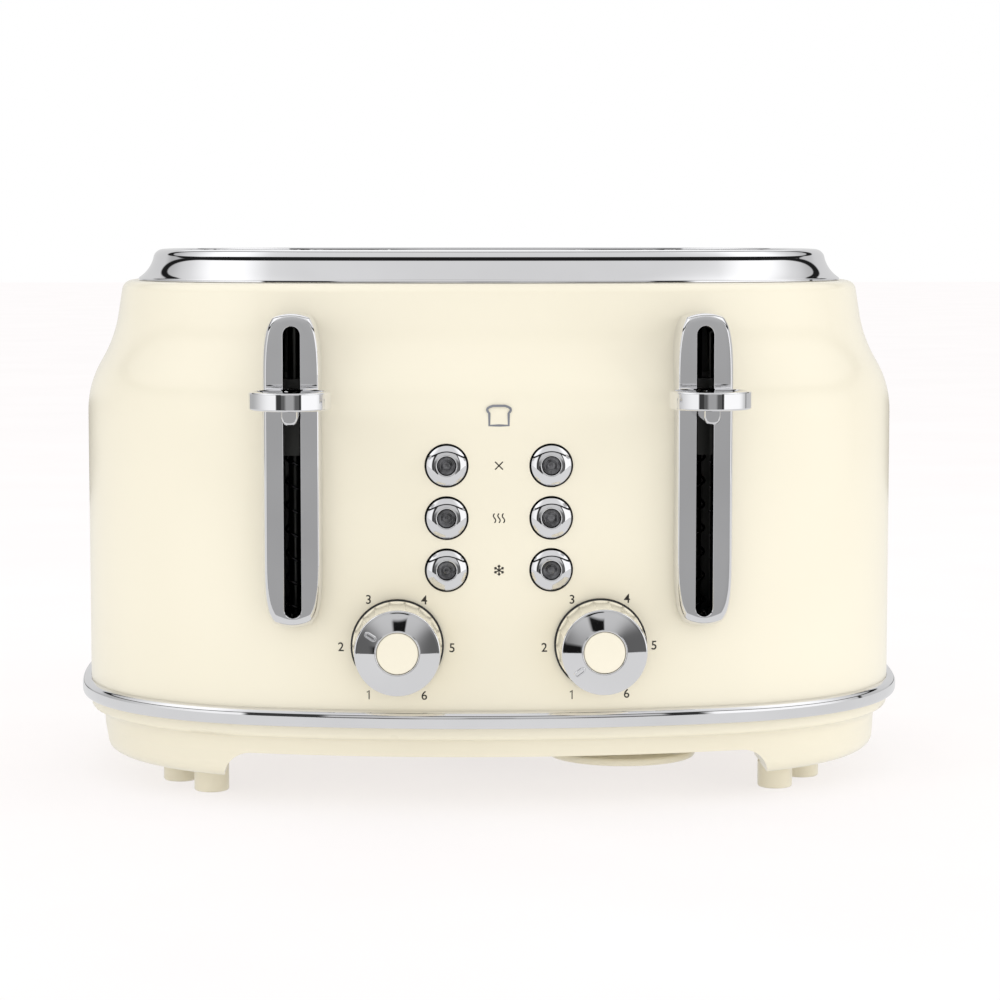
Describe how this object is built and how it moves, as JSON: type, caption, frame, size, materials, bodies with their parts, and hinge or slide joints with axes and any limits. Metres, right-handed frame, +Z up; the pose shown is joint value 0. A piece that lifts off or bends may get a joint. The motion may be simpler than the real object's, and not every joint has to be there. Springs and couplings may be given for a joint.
{
  "type": "pop up toaster",
  "caption": "Retro pop-up toaster with side-by-side twin-slot units, ogee-shouldered cream body, chrome trims, slide levers, push buttons and browning dials.",
  "frame": {"origin": "middle of the overall footprint, on the worktop", "axes": "+X to the right along the width, +Y from the lever side to the back, +Z up"},
  "size_m": [0.3424, 0.312, 0.2161],
  "materials": {
    "cream_enamel": "gloss enamel on pressed steel",
    "cream_plastic": "moulded, semi gloss",
    "cream_knob": "moulded, gloss",
    "chrome_trim": "bright plating",
    "steel_panel": "fine brushed",
    "plated_steel": "zinc plated sheet",
    "tray_steel": "zinc plated sheet",
    "guard_wire": "bright wire",
    "heating_ribbon": "oxidised resistance alloy",
    "mica": "pressed mica sheet",
    "soft_iron": "ground iron",
    "spring_steel": "drawn wire",
    "screw_steel": "zinc plated",
    "black_plastic": "moulded",
    "circuit_board": "solder mask",
    "smoked_lens": "smoked clear"
  },
  "bodies": {
    "housing": {"back_panel": "cream_enamel", "base_band": "chrome_trim", "base_tray": "cream_plastic", "body_shell": "cream_enamel", "button_housing": "black_plastic", "carriage_rods": "plated_steel", "case_screws": "screw_steel", "chassis_plate": "plated_steel", "control_board": "circuit_board", "cord_gland": "black_plastic", "cord_wrap": "cream_plastic", "feet": "cream_plastic", "heater_boards": "mica", "heating_wires_left": "heating_ribbon", "heating_wires_right": "heating_ribbon", "latch_magnets": "soft_iron", "lever_guide_left": "chrome_trim", "lever_guide_right": "chrome_trim", "oven_frame_left": "plated_steel", "oven_frame_right": "plated_steel", "return_spring_left": "spring_steel", "return_spring_right": "spring_steel", "terminal_block": "black_plastic", "timer_pot_left": "black_plastic", "timer_pot_right": "black_plastic", "top_frame": "chrome_trim", "top_plate": "steel_panel"},
    "lever_carriage_left": {"lever_knob_left": "chrome_trim", "carriage_plate_left": "plated_steel", "keeper_plate_left": "soft_iron", "bread_rests_left": "plated_steel"},
    "guards_left_a": {"bread_guards_left_a": "guard_wire"},
    "guards_left_b": {"bread_guards_left_b": "guard_wire"},
    "dial_left": {"knob_body_left": "cream_knob", "knob_ring_left": "chrome_trim", "knob_shaft_left": "plated_steel"},
    "button_cancel_left": {"button_cap_cancel_left": "chrome_trim", "button_lens_cancel_left": "smoked_lens"},
    "button_reheat_left": {"button_cap_reheat_left": "chrome_trim", "button_lens_reheat_left": "smoked_lens"},
    "button_defrost_left": {"button_cap_defrost_left": "chrome_trim", "button_lens_defrost_left": "smoked_lens"},
    "tray_left": {"crumb_tray_left": "tray_steel"},
    "lever_carriage_right": {"lever_knob_right": "chrome_trim", "carriage_plate_right": "plated_steel", "keeper_plate_right": "soft_iron", "bread_rests_right": "plated_steel"},
    "guards_right_a": {"bread_guards_right_a": "guard_wire"},
    "guards_right_b": {"bread_guards_right_b": "guard_wire"},
    "dial_right": {"knob_body_right": "cream_knob", "knob_ring_right": "chrome_trim", "knob_shaft_right": "plated_steel"},
    "button_cancel_right": {"button_cap_cancel_right": "chrome_trim", "button_lens_cancel_right": "smoked_lens"},
    "button_reheat_right": {"button_cap_reheat_right": "chrome_trim", "button_lens_reheat_right": "smoked_lens"},
    "button_defrost_right": {"button_cap_defrost_right": "chrome_trim", "button_lens_defrost_right": "smoked_lens"},
    "tray_right": {"crumb_tray_right": "tray_steel"}
  },
  "joints": [
    {"name": "lever_slide_left", "type": "slide", "parent": "housing", "child": "lever_carriage_left", "axis": [0, 0, 1], "range_m": [-0.073, 0.02], "stiffness_N_per_m": 40, "springref_m": 0.042, "deforming": ["return_spring_left"]},
    {"name": "guard_slide_left_a", "type": "slide", "parent": "housing", "child": "guards_left_a", "axis": [1, 0, 0], "range_m": [-0.0015, 0.0052]},
    {"name": "guard_slide_left_b", "type": "slide", "parent": "housing", "child": "guards_left_b", "axis": [-1, 0, 0], "range_m": [-0.0015, 0.0052]},
    {"name": "dial_turn_left", "type": "hinge", "parent": "housing", "child": "dial_left", "pos_m": [-0.039, -0.13455, 0.0655], "axis": [0, 1, 0], "range_deg": [-92.6, 207.4]},
    {"name": "button_press_cancel_left", "type": "slide", "parent": "housing", "child": "button_cancel_left", "axis": [0, 1, 0], "range_m": [0, 0.0025], "stiffness_N_per_m": 300, "springref_m": -0.001},
    {"name": "button_press_reheat_left", "type": "slide", "parent": "housing", "child": "button_reheat_left", "axis": [0, 1, 0], "range_m": [0, 0.0025], "stiffness_N_per_m": 300, "springref_m": -0.001},
    {"name": "button_press_defrost_left", "type": "slide", "parent": "housing", "child": "button_defrost_left", "axis": [0, 1, 0], "range_m": [0, 0.0025], "stiffness_N_per_m": 300, "springref_m": -0.001},
    {"name": "tray_slide_left", "type": "slide", "parent": "housing", "child": "tray_left", "axis": [0, 1, 0], "range_m": [0, 0.18]},
    {"name": "lever_slide_right", "type": "slide", "parent": "housing", "child": "lever_carriage_right", "axis": [0, 0, 1], "range_m": [-0.073, 0.02], "stiffness_N_per_m": 40, "springref_m": 0.042, "deforming": ["return_spring_right"]},
    {"name": "guard_slide_right_a", "type": "slide", "parent": "housing", "child": "guards_right_a", "axis": [1, 0, 0], "range_m": [-0.0015, 0.0052]},
    {"name": "guard_slide_right_b", "type": "slide", "parent": "housing", "child": "guards_right_b", "axis": [-1, 0, 0], "range_m": [-0.0015, 0.0052]},
    {"name": "dial_turn_right", "type": "hinge", "parent": "housing", "child": "dial_right", "pos_m": [0.039, -0.13455, 0.0655], "axis": [0, 1, 0], "range_deg": [-21.5, 278.5]},
    {"name": "button_press_cancel_right", "type": "slide", "parent": "housing", "child": "button_cancel_right", "axis": [0, 1, 0], "range_m": [0, 0.0025], "stiffness_N_per_m": 300, "springref_m": -0.001},
    {"name": "button_press_reheat_right", "type": "slide", "parent": "housing", "child": "button_reheat_right", "axis": [0, 1, 0], "range_m": [0, 0.0025], "stiffness_N_per_m": 300, "springref_m": -0.001},
    {"name": "button_press_defrost_right", "type": "slide", "parent": "housing", "child": "button_defrost_right", "axis": [0, 1, 0], "range_m": [0, 0.0025], "stiffness_N_per_m": 300, "springref_m": -0.001},
    {"name": "tray_slide_right", "type": "slide", "parent": "housing", "child": "tray_right", "axis": [0, 1, 0], "range_m": [0, 0.18]}
  ],
  "couplings": [
    {"joint": "guard_slide_left_a", "follows": "lever_slide_left", "ratio": -0.07},
    {"joint": "guard_slide_left_b", "follows": "lever_slide_left", "ratio": -0.07},
    {"joint": "guard_slide_right_a", "follows": "lever_slide_right", "ratio": -0.07},
    {"joint": "guard_slide_right_b", "follows": "lever_slide_right", "ratio": -0.07}
  ]
}
